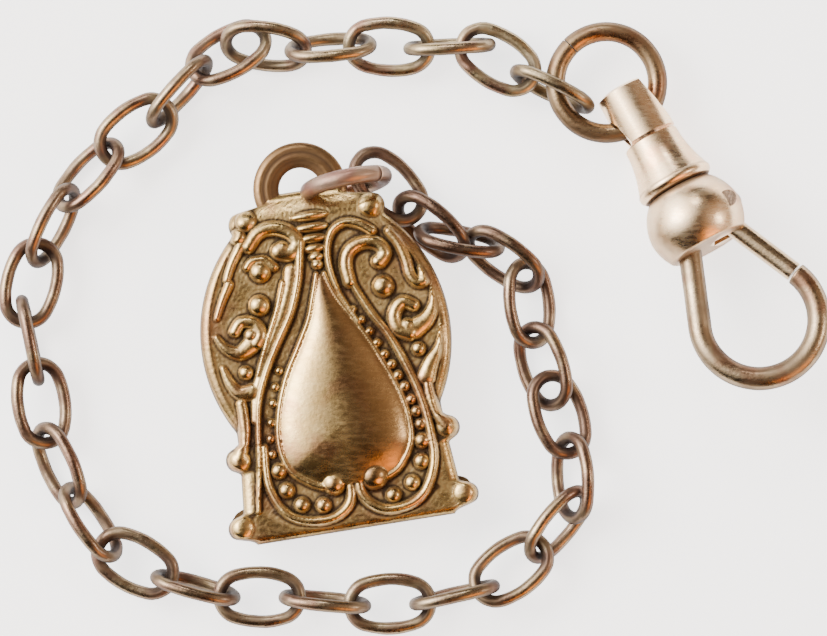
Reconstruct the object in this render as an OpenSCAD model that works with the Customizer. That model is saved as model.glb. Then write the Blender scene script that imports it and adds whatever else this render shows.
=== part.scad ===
// Pocket watch chain, laid out on a table: an ornamental pocket clip at one end,
// thirty-two oval links that run once round the clip, and a swivel clasp at the other end.

/* [Chain] */
// Overall length of one oval link
link_length = 6.0; // [5.7:0.1:7.4]
// Overall width of one oval link
link_width = 4.0; // [3.6:0.1:4.8]
// Thickness of the round wire that the links are bent from
link_wire = 0.84; // [0.6:0.02:0.9]
// Air between two linked wires when the chain is pulled straight
link_clearance = 0.05; // [0.02:0.01:0.2]

/* [Rings] */
// Outer diameter of the plain ring on the clip
jump_ring_diameter = 6.0; // [5.8:0.1:6.6]
// Thickness of the plain ring's wire
jump_ring_wire = 1.1; // [0.8:0.05:1.2]
// Outer diameter of the ring that the clasp swings on
swivel_ring_diameter = 7.8; // [7.4:0.1:9]
// Thickness of the swivel ring's wire
swivel_ring_wire = 1.25; // [0.9:0.05:1.3]

/* [Pocket clip] */
// Half of the clip's width at its widest
clip_half_width = 8.0; // [7.6:0.1:8.6]
// Thickness of the clip's frame plate
frame_thickness = 0.8; // [0.6:0.1:1.2]
// Height of the frame plate's underside above the table
frame_height = 2.35; // [2.3:0.05:3]
// Thickness of the frame's turned-down side wall
wall_thickness = 0.6; // [0.4:0.1:0.9]
// How far the side wall reaches below the frame plate
wall_depth = 0.75; // [0.4:0.05:1]
// Diameter of the hole in the clip's loop
loop_hole = 2.7; // [2.5:0.1:3]
// Thickness of the stamped front plate
front_thickness = 0.4; // [0.3:0.1:0.8]
// Width of the gripping jaw of the spring lever
jaw_width = 9.0; // [6:0.5:11]
// Thickness of the spring lever
lever_thickness = 0.8; // [0.5:0.1:0.9]
// Diameter of the lever's hinge pin
hinge_pin_diameter = 0.8; // [0.6:0.05:0.9]

/* [Swivel clasp] */
// Diameter of the clasp's head
head_diameter = 3.65; // [3.5:0.05:4.4]
// Diameter of the barrel at its wide end
barrel_diameter = 5.0; // [4.4:0.1:5.6]
// Diameter of the collar at its widest
collar_diameter = 6.4; // [6.2:0.1:7.6]
// Diameter of the swivel pin's shank
swivel_pin_diameter = 1.2; // [1:0.05:1.4]
// Thickness of the hook's round wire
hook_wire = 1.5; // [1.2:0.05:1.7]
// Radius of the hook's bow, to the middle of the wire
hook_radius = 3.8; // [3.4:0.1:4.6]
// Thickness of the gate's round bar
gate_wire = 1.3; // [1:0.05:1.5]
// Diameter of the rivet that the gate turns on
gate_rivet_diameter = 1.1; // [0.8:0.05:1.2]

/* [Hidden] */
$fn = 48;
running_gap = 0.05;
overlap = 0.01;

// ---- how the chain lies ----
// Where the clip's end of the first link lies
chain_start = [-3.19, 10.76];
// Direction of each link in degrees, from the clip to the clasp
heading = [
    -46, -41, -11, -35, -84, -72, -71, -86,
    -129, -144, -167, -178, 174, 178, 165, 151,
    124, 114, 98, 102, 76, 63, 48, 37,
    48, 29, -8, 5, -3, 3, -32, -26
];
// Turn of each link about its own length: 0 lies flat, 90 stands on its edge
roll = [
    -15, 50, -65, 50, -35, 40, -20, 55,
    -55, 10, 85, -5, 80, -5, 75, -10,
    60, -55, 20, 90, 10, 65, -50, 15,
    75, -30, 45, -65, 20, -80, 0, 80
];
// How far each link is pushed back into the one before it, instead of pulled tight
slack = [
    0.5, 2.2, 1.1, 0.7, 0.1, 1.0, 0.1, 0.9,
    0.1, 0.2, 0.1, 0.1, 0.1, 0.1, 0.1, 0.3,
    0.1, 0.1, 0.2, 0.5, 0.3, 0.3, 0.1, 0.5,
    0.2, 1.7, 0.1, 0.5, 0.4, 0.9, 0.3
];
link_count = len(heading);
// A link may hang this much lower than its neighbours hold it
height_step = 0.2;

// A link has two half-round ends and two short straight sides
link_end_radius = (link_width - link_wire) / 2;
link_side = link_length - link_width;

taut_pitch = link_length - 2 * link_wire - link_clearance;
function along(angle) = [cos(angle), sin(angle)];
function half_pitch(i) = (taut_pitch - slack[i]) / 2;
function own_height(i) = link_end_radius * abs(sin(roll[i])) + link_wire / 2;
function held_height(i) = max([for (j = [max(0, i - 1) : min(link_count - 1, i + 1)]) own_height(j)]);
function link_height(i) = max(own_height(i), held_height(i) - height_step);
// Middles of all the links, each reached from the one before it
function lay(i, at) = i == link_count - 1 ? [at] : concat(
    [at],
    lay(i + 1, at + half_pitch(i) * (along(heading[i]) + along(heading[i + 1])))
);
middles = lay(0, chain_start + (link_length - link_wire) / 2 * along(heading[0]));

// ---- pocket clip ----
clip_at = [-3.48, -13.07];
clip_turn = 9;
flank_middle_y = 12.4;
flank_radius = 10.05;
flank_offset = flank_radius - clip_half_width;
curl_radius = 0.95;
top_curl_at = [clip_half_width - 3.9, 20.25];
side_curl_radius = 0.8;
side_curl_at = [clip_half_width - 1.25, 5.5];
corner_radius = 0.77;
corner_at = [clip_half_width - 0.7, 1.15];
loop_at = [-0.15, 22.0];
loop_outer_radius = 3.0;
rim_width = 0.75;
rim_height = 0.3;
frame_top = frame_height + frame_thickness;
front_top = frame_top + front_thickness;
panel_at = [0.25, 6.3];
panel_radius = 4.1;
panel_tip = 16.8;
panel_step = 0.32;
bead_radius = 0.36;
bead_count = 11;
knob_radius = 0.9;
hinge_y = 12.5;
hinge_height = 1.55;
knuckle_radius = 0.72;
lug_inner = 3.0;
lug_thickness = 0.7;
knuckle_inner = 1.15;
lever_half_width = 2.9;
lever_top_y = 16.8;
jaw_y = 0.9;
jaw_length = 0.7;
tooth_count = 8;
spring_wire = 0.3;
spring_half_width = 1.05;
spring_inner_radius = hinge_pin_diameter / 2 + running_gap;
spring_outer_radius = spring_inner_radius + 0.28;

// ---- rings ----
jump_ring_radius = (jump_ring_diameter - jump_ring_wire) / 2;
jump_ring_at = [-4.13, 8.95];
jump_ring_turn = 12;
jump_ring_roll = 84;
jump_ring_height = jump_ring_radius * sin(jump_ring_roll) + jump_ring_wire / 2;
ring_slit = 1.2;
swivel_ring_radius = (swivel_ring_diameter - swivel_ring_wire) / 2;

// ---- swivel clasp: x runs from the middle of the cross hole towards the hook ----
clasp_turn = -62;
ring_bore_turn = 42;
head_back = -2.0;
head_front = 1.4;
head_dome = 0.3;
head_flat = 1.55;
head_flat_reach = 2;
swivel_gap = 0.2;
ring_play = 0.2;
barrel_start = head_front + swivel_gap;
barrel_wide = 4.9;
barrel_end = 5.3;
barrel_wall = 0.8;
cavity_radius = 1.4;
collar_start = 5.4;
collar_wide = 7.6;
collar_end = 9.5;
collar_end_radius = 2.6;
spigot_start = 4.3;
pin_head_radius = 1.15;
pin_head_thickness = 0.5;
pin_seat = 0.3;
hook_at = [15.2, 0.5];
hook_arm_turn = -21;
hook_arm_length = 6.0;
hook_end_angle = 114;
gate_rivet_at = [7.7, 2.3];
gate_eye_radius = 0.9;
gate_eye_thickness = 1.0;
gate_tip_gap = 0.12;
slot_half_height = gate_eye_thickness / 2 + running_gap;
sagitta = swivel_ring_radius - sqrt(pow(swivel_ring_radius, 2) - pow(head_flat, 2));
ring_bore_radius = swivel_ring_wire / 2 + sagitta / 2 + ring_play;
// The clasp rests on the edge of its head and on its collar
clasp_lean = asin((collar_diameter - head_diameter) / 2 / (collar_wide - head_back));
clasp_height = head_diameter / 2 * cos(clasp_lean) - head_back * sin(clasp_lean);
// The swivel ring hangs in the last link, and the clasp's head turns on the ring
ring_hang_turn = 53;
ring_hang_gap = 0.3;
chain_end = middles[link_count - 1] + (link_length - link_wire) / 2 * along(heading[link_count - 1]);
ring_hang = swivel_ring_radius - (link_wire + swivel_ring_wire) / 2 - ring_hang_gap;
swivel_ring_at = chain_end + ring_hang * along(ring_hang_turn);
clasp_at = swivel_ring_at + (swivel_ring_radius - sagitta / 2) * along(ring_bore_turn - 90);

// Colours
pale_gold = [0.84, 0.76, 0.55];
rose_gold = [0.80, 0.60, 0.45];
dull_gold = [0.62, 0.55, 0.42];
rich_gold = [0.80, 0.64, 0.28];
spring_steel = [0.45, 0.45, 0.47];

function link_name(i) = str("link_", i < 10 ? "0" : "", i);

// A piece of a bent wire: part of a torus about z
module bent_wire(radius, wire, from, sweep) {
    rotate([0, 0, from])
        rotate_extrude(angle = sweep)
            translate([radius, 0])
                circle(d = wire);
}

// ---------------------------------------------------------------- chain
module oval_link() {
    color(pale_gold)
        for (half = [0, 180])
            rotate([0, 0, half]) {
                translate([link_side / 2, 0, 0])
                    bent_wire(link_end_radius, link_wire, -90, 180);
                translate([-link_side / 2, link_end_radius, 0])
                    rotate([0, 90, 0])
                        cylinder(d = link_wire, h = link_side);
            }
}

module chain_link(i) {
    translate([middles[i].x, middles[i].y, link_height(i)])
        rotate([0, 0, heading[i]])
            rotate([roll[i], 0, 0])
                oval_link();
}

module clip_jump_ring() {
    color(rose_gold)
        translate([jump_ring_at.x, jump_ring_at.y, jump_ring_height])
            rotate([0, 0, jump_ring_turn])
                rotate([jump_ring_roll, 0, 0])
                    bent_wire(jump_ring_radius, jump_ring_wire, 40 + ring_slit, 360 - 2 * ring_slit);
}

module swivel_ring() {
    color(dull_gold)
        translate([swivel_ring_at.x, swivel_ring_at.y, clasp_height])
            rotate([0, 0, 135])
                bent_wire(swivel_ring_radius, swivel_ring_wire, ring_slit / 2, 360 - ring_slit);
}

// ---------------------------------------------------------------- pocket clip
module place_clip() {
    translate([clip_at.x, clip_at.y, 0])
        rotate([0, 0, clip_turn])
            children();
}

module both_sides() {
    children();
    mirror([1, 0])
        children();
}

// The shield shape of the clip without its curls, drawn in by inset
module shield(inset) {
    intersection() {
        translate([-flank_offset, flank_middle_y])
            circle(r = flank_radius - inset, $fn = 120);
        translate([flank_offset, flank_middle_y])
            circle(r = flank_radius - inset, $fn = 120);
        translate([-clip_half_width, inset])
            square([2 * clip_half_width, top_curl_at.y + 0.4 - 2 * inset]);
    }
    polygon([
        [-corner_at.x + inset, inset], [corner_at.x - inset, inset],
        [side_curl_at.x - inset, side_curl_at.y], [side_curl_at.x - inset, 8],
        [-side_curl_at.x + inset, 8], [-side_curl_at.x + inset, side_curl_at.y]
    ]);
}

// The whole outline, with its curls and its round corners
module clip_outline(inset) {
    shield(inset);
    both_sides() {
        translate(top_curl_at)
            circle(r = curl_radius - inset);
        translate(side_curl_at)
            circle(r = side_curl_radius - inset);
        translate(corner_at)
            circle(r = corner_radius - inset);
    }
}

module hinge_lug() {
    translate([lug_inner, 0, 0])
        rotate([0, 90, 0])
            rotate([0, 0, 90])
                linear_extrude(height = lug_thickness)
                    difference() {
                        union() {
                            translate([hinge_y, hinge_height])
                                circle(r = knuckle_radius);
                            translate([hinge_y - knuckle_radius, hinge_height])
                                square([2 * knuckle_radius, frame_height - hinge_height]);
                        }
                        translate([hinge_y, hinge_height])
                            circle(d = hinge_pin_diameter);
                    }
}

module clip_frame() {
    color(dull_gold)
        place_clip() {
            difference() {
                union() {
                    translate([0, 0, frame_height])
                        linear_extrude(height = frame_thickness)
                            union() {
                                clip_outline(0);
                                translate(loop_at)
                                    circle(r = loop_outer_radius);
                            }
                    translate([0, 0, frame_height - wall_depth])
                        linear_extrude(height = wall_depth)
                            difference() {
                                intersection() {
                                    clip_outline(0);
                                    translate([-clip_half_width - 1, -1])
                                        square([2 * clip_half_width + 2, 17]);
                                }
                                clip_outline(wall_thickness);
                            }
                    translate([0, 0, frame_top])
                        linear_extrude(height = rim_height)
                            difference() {
                                clip_outline(0);
                                shield(rim_width);
                            }
                }
                translate([loop_at.x, loop_at.y, 0])
                    cylinder(d = loop_hole, h = 3 * frame_height);
            }
            hinge_lug();
            mirror([1, 0, 0])
                hinge_lug();
        }
}

// Teardrop with a round foot and a pointed top, drawn in by inset
module teardrop(inset) {
    r = panel_radius - inset;
    reach = panel_tip - panel_at.y - inset;
    half_angle = asin(r / reach);
    translate(panel_at) {
        circle(r = r, $fn = 96);
        polygon([
            [r * cos(half_angle), r * sin(half_angle)],
            [0, reach],
            [-r * cos(half_angle), r * sin(half_angle)]
        ]);
    }
}

module clip_front_plate() {
    color(rich_gold)
        place_clip() {
            translate([0, 0, frame_top]) {
                linear_extrude(height = front_thickness)
                    shield(rim_width);
                for (layer = [1 : 3])
                    linear_extrude(height = front_thickness + layer * panel_step)
                        teardrop(0.35 * layer * layer);
            }
            intersection() {
                union() {
                    // rows of beads that follow the teardrop's sides
                    for (side = [-1, 1], n = [0 : bead_count - 1])
                        translate([
                            panel_at.x + side * (panel_radius + 0.9 - 0.36 * n),
                            panel_at.y + 0.7 * n,
                            front_top
                        ])
                            sphere(r = bead_radius, $fn = 24);
                    // scrolls under the teardrop and on the wings
                    for (at = [[-0.95, 3.1, 1], [1.55, 3.25, 1], [4, 17, 0.75], [-3.6, 17, 0.75],
                               [4.1, 15, 0.75], [-3.8, 15, 0.75], [5, 13.2, 0.8], [-5, 13.5, 0.8],
                               [5.6, 10.6, 0.6], [-5.4, 10.8, 0.6]])
                        translate([at.x, at.y, front_top])
                            sphere(r = knob_radius * at.z, $fn = 24);
                }
                translate([-clip_half_width, 0, frame_top])
                    cube([2 * clip_half_width, 20, 3]);
            }
            // shrinking ribs above the teardrop's point
            for (n = [0 : 3])
                translate([-1.2 + 0.2 * n, 17.9 + 0.68 * n - 0.2, frame_top])
                    cube([2.4 - 0.4 * n + 0.4, 0.4, front_thickness + 0.35]);
        }
}

module lever_profile() {
    translate([-jaw_width / 2, jaw_y])
        square([jaw_width, 7]);
    translate([-lever_half_width, jaw_y])
        square([2 * lever_half_width, lever_top_y - jaw_y]);
}

module lever_knuckle(from, to) {
    translate([from, hinge_y, hinge_height])
        rotate([0, 90, 0])
            cylinder(r = knuckle_radius - running_gap, h = to - from);
    translate([from, hinge_y - knuckle_radius + running_gap, lever_thickness - overlap])
        cube([to - from, 2 * (knuckle_radius - running_gap), hinge_height - lever_thickness]);
}

module clip_spring_lever() {
    lip_top = frame_height - running_gap;
    color(dull_gold)
        place_clip()
            difference() {
                union() {
                    linear_extrude(height = lever_thickness)
                        lever_profile();
                    lever_knuckle(knuckle_inner, lever_half_width);
                    lever_knuckle(-lever_half_width, -knuckle_inner);
                    // turned-up jaw with its row of teeth
                    translate([-jaw_width / 2, jaw_y, 0])
                        cube([jaw_width, jaw_length, lip_top - 0.4]);
                    for (n = [0 : tooth_count - 1])
                        translate([-jaw_width / 2 + (n + 0.5) * jaw_width / tooth_count, jaw_y, lip_top - 0.4])
                            rotate([-90, 0, 0])
                                linear_extrude(height = jaw_length)
                                    polygon([[-0.4, 0.05], [0.4, 0.05], [0, -0.4]]);
                }
                translate([-lug_inner, hinge_y, hinge_height])
                    rotate([0, 90, 0])
                        cylinder(d = hinge_pin_diameter + 2 * running_gap, h = 2 * lug_inner);
            }
}

module clip_hinge_pin() {
    pin_half = lug_inner + lug_thickness + 0.15;
    color(spring_steel)
        place_clip()
            translate([-pin_half, hinge_y, hinge_height])
                rotate([0, 90, 0])
                    cylinder(d = hinge_pin_diameter, h = 2 * pin_half);
}

// A coil round the hinge pin, with one leg under the frame and one on the lever
module clip_lever_spring() {
    leg = spring_wire / 2;
    color(spring_steel)
        place_clip() {
            translate([-spring_half_width, hinge_y, hinge_height])
                rotate([0, 90, 0])
                    difference() {
                        cylinder(r = spring_outer_radius, h = 2 * spring_half_width);
                        translate([0, 0, -1])
                            cylinder(r = spring_inner_radius, h = 2 * spring_half_width + 2);
                    }
            translate([spring_half_width - leg, hinge_y, hinge_height + spring_outer_radius - leg])
                rotate([-90, 0, 0])
                    cylinder(d = spring_wire, h = 3.2);
            translate([leg - spring_half_width, hinge_y, hinge_height - spring_outer_radius + leg])
                rotate([-90, 0, 0])
                    cylinder(d = spring_wire, h = 3.2);
        }
}

// ---------------------------------------------------------------- swivel clasp
module place_clasp() {
    translate([clasp_at.x, clasp_at.y, clasp_height])
        rotate([0, 0, clasp_turn])
            rotate([0, -clasp_lean, 0])
                children();
}

// A solid turned about the clasp's x axis from a profile of [along, radius] points
module turned(points) {
    rotate([0, 90, 0])
        rotate([0, 0, 90])
            rotate_extrude()
                polygon([for (p = points) [p.y, p.x]]);
}

module swivel_head() {
    r = head_diameter / 2;
    color(pale_gold)
        place_clasp()
            difference() {
                turned([
                    [head_back - head_dome, 0], [head_back - head_dome, r * 0.45],
                    [head_back - head_dome * 0.6, r * 0.8], [head_back, r],
                    [head_front, r], [head_front, 0]
                ]);
                rotate([0, 0, ring_bore_turn - clasp_turn])
                    rotate([0, 90, 0]) {
                        translate([0, 0, -5])
                            cylinder(r = ring_bore_radius, h = 10);
                        for (side = [-1, 1])
                            translate([-3, -head_flat_reach, side > 0 ? head_flat : -head_flat - 3])
                                cube([6, 2 * head_flat_reach, 3]);
                    }
                rotate([0, 90, 0])
                    translate([0, 0, head_front - pin_seat])
                        cylinder(d = swivel_pin_diameter, h = 1);
            }
}

module swivel_pin() {
    pin_end = barrel_start + barrel_wall + running_gap;
    color(dull_gold)
        place_clasp()
            rotate([0, 90, 0]) {
                translate([0, 0, head_front - pin_seat])
                    cylinder(d = swivel_pin_diameter, h = pin_end - head_front + pin_seat + overlap);
                translate([0, 0, pin_end])
                    cylinder(r = pin_head_radius, h = pin_head_thickness);
            }
}

module swivel_barrel() {
    color(rose_gold)
        place_clasp()
            turned([
                [barrel_start, swivel_pin_diameter / 2 + running_gap],
                [barrel_start, head_diameter / 2],
                [barrel_wide - 0.3, barrel_diameter / 2 - 0.05],
                [barrel_wide, barrel_diameter / 2],
                [barrel_end, barrel_diameter / 2 - 0.3],
                [barrel_end, cavity_radius],
                [barrel_start + barrel_wall, cavity_radius],
                [barrel_start + barrel_wall, swivel_pin_diameter / 2 + running_gap]
            ]);
}

// The hook's own frame: its middle is the bow's, and the straight arm runs along -x
module place_hook() {
    translate([hook_at.x, hook_at.y, 0])
        rotate([0, 0, hook_arm_turn])
            children();
}

module hook_arm() {
    translate([0, -hook_radius, 0])
        rotate([0, -90, 0])
            cylinder(d = hook_wire, h = hook_arm_length);
}

module clasp_collar() {
    r = collar_diameter / 2;
    color(rose_gold)
        place_clasp()
            difference() {
                turned([
                    [spigot_start, 0], [spigot_start, cavity_radius - running_gap],
                    [collar_start, cavity_radius - running_gap], [collar_start, barrel_diameter / 2 - 0.3],
                    [collar_start + 0.8, r * 0.86], [collar_start + 1.5, r * 0.97],
                    [collar_wide, r], [collar_wide + 0.7, r * 0.985],
                    [collar_end - 0.4, r * 0.89], [collar_end, collar_end_radius], [collar_end, 0]
                ]);
                place_hook()
                    hook_arm();
                translate([gate_rivet_at.x - gate_eye_radius - 0.2, 0.35, -slot_half_height])
                    cube([5, 5, 2 * slot_half_height]);
                translate([gate_rivet_at.x + 0.4, 0.35, -gate_wire / 2 - running_gap])
                    cube([5, 5, gate_wire + 2 * running_gap]);
                translate([gate_rivet_at.x, gate_rivet_at.y, -5])
                    cylinder(d = gate_rivet_diameter, h = 10);
            }
}

module clasp_hook() {
    color(rose_gold)
        place_clasp()
            place_hook() {
                bent_wire(hook_radius, hook_wire, -90, hook_end_angle - hook_arm_turn + 90);
                hook_arm();
            }
}

module clasp_gate() {
    tip_x = hook_at.x + hook_radius * cos(hook_end_angle);
    tip_y = hook_at.y + hook_radius * sin(hook_end_angle);
    root = 5.0;
    color(dull_gold)
        place_clasp()
            difference() {
                union() {
                    translate([gate_rivet_at.x, gate_rivet_at.y, -gate_eye_thickness / 2])
                        cylinder(r = gate_eye_radius, h = gate_eye_thickness);
                    translate([gate_rivet_at.x, gate_rivet_at.y - gate_eye_radius, -gate_eye_thickness / 2])
                        cube([1.2, gate_eye_radius, gate_eye_thickness]);
                    translate([tip_x, tip_y, 0])
                        rotate([0, 0, hook_end_angle - 90])
                            rotate([0, -90, 0])
                                translate([0, 0, gate_tip_gap])
                                    cylinder(d = gate_wire, h = root);
                }
                translate([gate_rivet_at.x, gate_rivet_at.y, -1])
                    cylinder(d = gate_rivet_diameter + 2 * running_gap, h = 2);
            }
}

module gate_rivet() {
    reach = sqrt(pow(collar_diameter / 2, 2) - pow(gate_rivet_at.y, 2)) + 0.08;
    color(dull_gold)
        place_clasp()
            translate([gate_rivet_at.x, gate_rivet_at.y, -reach])
                cylinder(d = gate_rivet_diameter, h = 2 * reach);
}

// A leaf in the collar's slot that presses the gate outwards
module gate_spring() {
    color(spring_steel)
        place_clasp()
            translate([gate_rivet_at.x - gate_eye_radius - 0.1, 0.4, -0.35])
                cube([2.2, 0.15, 0.7]);
}

for (i = [1 : link_count])
    chain_link(i - 1);
clip_frame();
clip_front_plate();
clip_spring_lever();
clip_hinge_pin();
clip_lever_spring();
clip_jump_ring();
swivel_ring();
swivel_head();
swivel_pin();
swivel_barrel();
clasp_collar();
clasp_hook();
clasp_gate();
gate_rivet();
gate_spring();
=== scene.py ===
# %% [markdown]
# # A pocket watch chain
# The real thing is an old gold-filled chain: oval wire links, a stamped pocket clip at one
# end and a swivel clasp with a sprung gate at the other. The CAD frame gives every part its
# place and its joints. Here each part gets the finer shape and the aged metal of the real one.

import math

import bmesh
import bpy
import numpy as np
from mathutils import Matrix, Vector, noise


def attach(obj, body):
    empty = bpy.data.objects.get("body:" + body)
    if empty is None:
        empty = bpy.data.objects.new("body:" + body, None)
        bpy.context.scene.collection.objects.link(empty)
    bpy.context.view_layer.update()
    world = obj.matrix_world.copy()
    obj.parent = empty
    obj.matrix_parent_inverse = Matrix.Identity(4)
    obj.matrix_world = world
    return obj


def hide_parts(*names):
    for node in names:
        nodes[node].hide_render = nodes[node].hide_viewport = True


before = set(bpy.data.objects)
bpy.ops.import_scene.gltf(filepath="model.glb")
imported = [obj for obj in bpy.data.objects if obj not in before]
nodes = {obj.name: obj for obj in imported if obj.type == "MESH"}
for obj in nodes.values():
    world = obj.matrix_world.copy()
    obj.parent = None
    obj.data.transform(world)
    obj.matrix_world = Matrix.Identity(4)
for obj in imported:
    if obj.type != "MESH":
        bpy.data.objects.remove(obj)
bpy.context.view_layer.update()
MM = 0.001

# %% [markdown]
# ## Camera
# The chain lies flat on a table and is seen from almost straight above, with a long lens so
# that all the links look equally large. A slight lean towards the clip's lower left corner
# lets its side wall show.

# %% Camera
VIEW_WIDTH = 52.93 * MM
VIEW_TARGET = Vector((0.2, 0.45, 1.6)) * MM
CAMERA_DISTANCE = 0.42
LEAN_LEFT = 1.5
LEAN_DOWN = 3.0
SENSOR_WIDTH = 36

camera_data = bpy.data.cameras.new("top_camera")
camera_data.sensor_width = SENSOR_WIDTH
camera_data.lens = SENSOR_WIDTH * CAMERA_DISTANCE / VIEW_WIDTH
camera = bpy.data.objects.new("top_camera", camera_data)
bpy.context.collection.objects.link(camera)
lean = (Matrix.Rotation(math.radians(LEAN_DOWN), 4, "X")
        @ Matrix.Rotation(math.radians(-LEAN_LEFT), 4, "Y"))
back_off = Matrix.Translation((0, 0, CAMERA_DISTANCE))
camera.matrix_world = Matrix.Translation(VIEW_TARGET) @ lean @ back_off
bpy.context.scene.camera = camera
print("lens", round(camera_data.lens), "mm")

# %% [markdown]
# ## Light
# Polished metal shows what is around it, so the light is built as things to reflect: a bright
# window on the left, a warm wall on the right, one small warm lamp, and a brown ceiling that
# is lightest overhead and fades to almost black towards the horizon. The dark between the
# bright things is what gives old gold its contrast.

# %% World
world = bpy.data.worlds.new("studio")
bpy.context.scene.world = world
world.use_nodes = True
sky = world.node_tree
background = sky.nodes["Background"]
direction = sky.nodes.new("ShaderNodeTexCoord").outputs["Generated"]


def set_ramp(ramp, stops):
    """Gives a colour ramp its stops, each (place, colour)."""
    elements = ramp.color_ramp.elements
    while len(elements) < len(stops):
        elements.new(0.5)
    for element, (place, colour) in zip(elements, stops):
        element.position = place
        element.color = (*colour, 1)


def glow(towards, stops):
    """A ramp over how closely a direction of the sky agrees with the given one."""
    dot = sky.nodes.new("ShaderNodeVectorMath")
    dot.operation = "DOT_PRODUCT"
    dot.inputs[1].default_value = Vector(towards).normalized()
    sky.links.new(direction, dot.inputs[0])
    ramp = sky.nodes.new("ShaderNodeValToRGB")
    set_ramp(ramp, stops)
    sky.links.new(dot.outputs["Value"], ramp.inputs["Fac"])
    return ramp.outputs["Color"]


def add_light(first, second):
    """Two skies added."""
    node = sky.nodes.new("ShaderNodeMix")
    node.data_type = "RGBA"
    node.blend_type = "ADD"
    node.inputs["Factor"].default_value = 1.0
    sky.links.new(first, node.inputs["A"])
    sky.links.new(second, node.inputs["B"])
    return node.outputs["Result"]


ceiling = glow((0, 0.25, 1), [(0.0, (0.006, 0.004, 0.003)), (0.35, (0.012, 0.008, 0.006)),
                              (0.75, (0.045, 0.031, 0.024)), (1.0, (0.095, 0.070, 0.053))])
window = glow((-0.80, 0.30, 0.55), [(0.60, (0, 0, 0)), (0.78, (1.5, 1.44, 1.35)),
                                    (0.92, (5.0, 4.9, 4.7)), (1.0, (5.5, 5.4, 5.2))])
wall = glow((0.85, 0.10, 0.55), [(0.62, (0, 0, 0)), (0.86, (0.40, 0.28, 0.20)),
                                 (1.0, (0.85, 0.62, 0.46))])
warm_lamp = glow((0.55, -0.60, 0.60), [(0.93, (0, 0, 0)), (0.98, (3.6, 1.4, 0.35)),
                                       (1.0, (4.2, 1.7, 0.45))])
room = add_light(add_light(ceiling, window), add_light(wall, warm_lamp))
sky.links.new(room, background.inputs["Color"])
background.inputs["Strength"].default_value = 1.0
print("world set")

# %% [markdown]
# Three gentle softboxes give the forms their shading: a large one on the window's side, a
# small warm one opposite, and one behind that draws a light line along the far edges.

# %% Softboxes
def softbox(name, place, size, power, colour):
    """A square area light that looks at the middle of the table."""
    data = bpy.data.lights.new(name, "AREA")
    data.size = size
    data.energy = power
    data.color = colour
    box = bpy.data.objects.new(name, data)
    box.location = place
    box.rotation_euler = (-Vector(place)).to_track_quat("-Z", "Y").to_euler()
    bpy.context.collection.objects.link(box)


softbox("left_box", (-0.34, 0.12, 0.30), 0.22, 1.5, (1.0, 0.99, 0.97))
softbox("right_box", (0.36, 0.02, 0.26), 0.10, 0.3, (1.0, 0.92, 0.84))
softbox("back_box", (-0.04, 0.40, 0.34), 0.12, 0.4, (1.0, 0.98, 0.95))
print("three softboxes")

# %% [markdown]
# ## Table
# A plain pale sheet under the chain, on a light table. The sheet glows a little, so the
# shadows stay faint and the lamps above can be gentle. It lies a hair below the chain, as two
# faces in one plane would flicker.

# %% Table
TABLE_HALF = 0.8
TABLE_GAP = 0.03 * MM
TABLE_GLOW = 2.4

table_mesh = bmesh.new()
bmesh.ops.create_grid(table_mesh, x_segments=1, y_segments=1, size=TABLE_HALF)
bmesh.ops.translate(table_mesh, vec=(0, 0, -TABLE_GAP), verts=table_mesh.verts[:])
table_data = bpy.data.meshes.new("table")
table_mesh.to_mesh(table_data)
table_mesh.free()
table = bpy.data.objects.new("table", table_data)
bpy.context.collection.objects.link(table)
table_paint = bpy.data.materials.new("pale_table")
table_paint.use_nodes = True
table_shader = table_paint.node_tree.nodes["Principled BSDF"]
table_shader.inputs["Base Color"].default_value = (0.97, 0.97, 0.97, 1)
table_shader.inputs["Roughness"].default_value = 0.9
table_shader.inputs["Emission Color"].default_value = (1.0, 1.0, 1.0, 1)
table_shader.inputs["Emission Strength"].default_value = TABLE_GLOW
table_data.materials.append(table_paint)
print("table ready")

# %% [markdown]
# ## Aged gold
# Every part is the same kind of metal in a different state. One recipe makes them all: two
# golds mixed in soft clouds, a rosy or brown stain, a brown tone where the brown attribute says
# so, which is tarnish and on the clip's panel a painted reflection, and a dark patina colour
# where the darkening attribute says so, which is old dirt where polish never reaches and painted
# shade on sides, undersides and where parts meet. Where that attribute is high the surface is
# also rough and hardly mirrors. The two attributes are stored on the mesh, because they follow
# the shape. Fine grain goes into the bump.

# %% Colour and noise helpers
CLOUD_SIZE = 700
GRAIN_SIZE = 5200


def mix_colours(tree, factor, first, second):
    """A colour mix whose inputs are sockets or plain colours."""
    node = tree.nodes.new("ShaderNodeMix")
    node.data_type = "RGBA"
    tree.links.new(factor, node.inputs["Factor"])
    for socket, value in ((node.inputs["A"], first), (node.inputs["B"], second)):
        if isinstance(value, tuple):
            socket.default_value = (*value, 1)
        else:
            tree.links.new(value, socket)
    return node.outputs["Result"]


def clouds(tree, coords, scale, low, high, detail=4.0, stretch=None):
    """Noise whose range between low and high becomes 0 to 1."""
    if stretch:
        mapping = tree.nodes.new("ShaderNodeMapping")
        mapping.inputs["Scale"].default_value = stretch
        tree.links.new(coords, mapping.inputs["Vector"])
        coords = mapping.outputs["Vector"]
    node = tree.nodes.new("ShaderNodeTexNoise")
    node.inputs["Scale"].default_value = scale
    node.inputs["Detail"].default_value = detail
    tree.links.new(coords, node.inputs["Vector"])
    spread = tree.nodes.new("ShaderNodeMapRange")
    spread.inputs["From Min"].default_value = low
    spread.inputs["From Max"].default_value = high
    tree.links.new(node.outputs["Fac"], spread.inputs["Value"])
    return spread.outputs["Result"]


def attribute(tree, name):
    """A number stored on the mesh's points."""
    node = tree.nodes.new("ShaderNodeAttribute")
    node.attribute_name = name
    return node.outputs["Fac"]


print("colour and noise helpers ready")

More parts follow.
